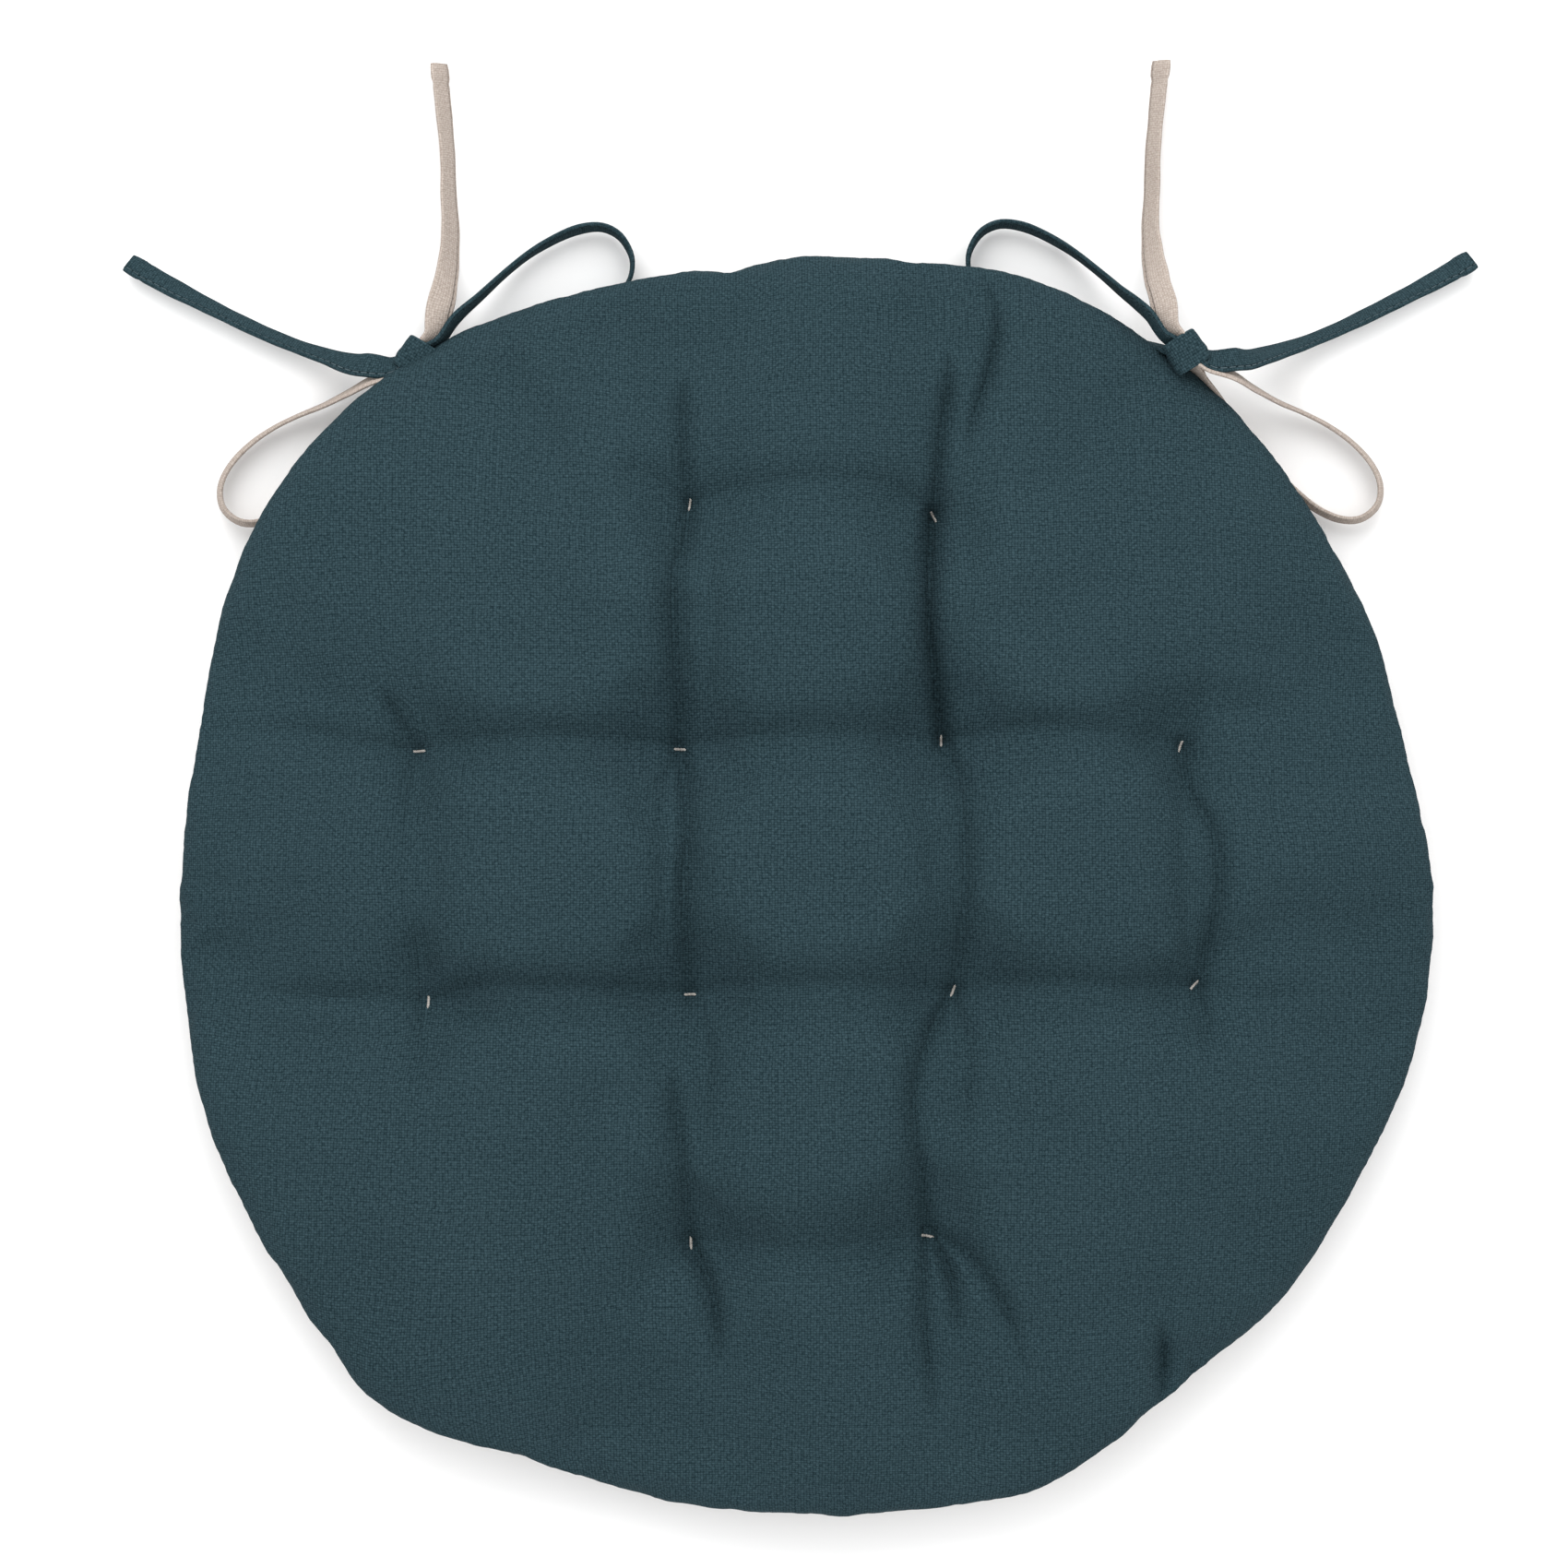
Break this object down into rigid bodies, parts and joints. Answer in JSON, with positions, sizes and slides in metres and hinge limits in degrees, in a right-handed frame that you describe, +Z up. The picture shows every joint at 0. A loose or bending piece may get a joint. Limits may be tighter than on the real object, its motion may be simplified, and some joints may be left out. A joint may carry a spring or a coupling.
{
  "type": "seat cushion",
  "caption": "Round tufted chair cushion in woven fabric with a fibre filling, held at its sewn tufts, and two pairs of fabric ties at the back tied in bows",
  "frame": {"origin": "on the resting plane under the middle of the cushion", "axes": "+Z up out of the seat face, +Y towards the edge with the ties, +X to the right seen from above with the ties at the far side"},
  "size_m": [0.4288, 0.4658, 0.055],
  "materials": {
    "teal_canvas": "plain weave of light and dark teal yarns, matte",
    "beige_canvas": "plain woven beige cotton, matte",
    "polyester_fibre": "loose white fibre wadding",
    "sewing_thread": "twisted grey-beige thread, matte"
  },
  "bodies": {
    "cushion": {"top_cover": "teal_canvas", "bottom_cover": "beige_canvas", "filling": "polyester_fibre", "seam_thread": "sewing_thread", "tuft_thread_01": "sewing_thread", "tuft_thread_02": "sewing_thread", "tuft_thread_03": "sewing_thread", "tuft_thread_04": "sewing_thread", "tuft_thread_05": "sewing_thread", "tuft_thread_06": "sewing_thread", "tuft_thread_07": "sewing_thread", "tuft_thread_08": "sewing_thread", "tuft_thread_09": "sewing_thread", "tuft_thread_10": "sewing_thread", "tuft_thread_11": "sewing_thread", "tuft_thread_12": "sewing_thread", "left_tie_root": "teal_canvas", "left_knot": "teal_canvas", "left_teal_loop": "teal_canvas", "left_beige_loop": "beige_canvas", "right_tie_root": "teal_canvas", "right_knot": "teal_canvas", "right_teal_loop": "teal_canvas", "right_beige_loop": "beige_canvas"},
    "left_teal_tail": {"left_teal_tail": "teal_canvas"},
    "left_beige_tail": {"left_beige_tail": "beige_canvas"},
    "right_teal_tail": {"right_teal_tail": "teal_canvas"},
    "right_beige_tail": {"right_beige_tail": "beige_canvas"}
  },
  "joints": [
    {"name": "left_teal_tail_swing", "type": "hinge", "parent": "cushion", "child": "left_teal_tail", "pos_m": [-0.13195, 0.1682, 0.0298], "axis": [0, 0, 1], "range_deg": [-25, 25]},
    {"name": "left_beige_tail_swing", "type": "hinge", "parent": "cushion", "child": "left_beige_tail", "pos_m": [-0.11733, 0.1787, 0.0298], "axis": [0, 0, 1], "range_deg": [-25, 25]},
    {"name": "right_teal_tail_swing", "type": "hinge", "parent": "cushion", "child": "right_teal_tail", "pos_m": [0.13195, 0.1682, 0.0298], "axis": [0, 0, 1], "range_deg": [-25, 25]},
    {"name": "right_beige_tail_swing", "type": "hinge", "parent": "cushion", "child": "right_beige_tail", "pos_m": [0.11733, 0.1787, 0.0298], "axis": [0, 0, 1], "range_deg": [-25, 25]}
  ]
}
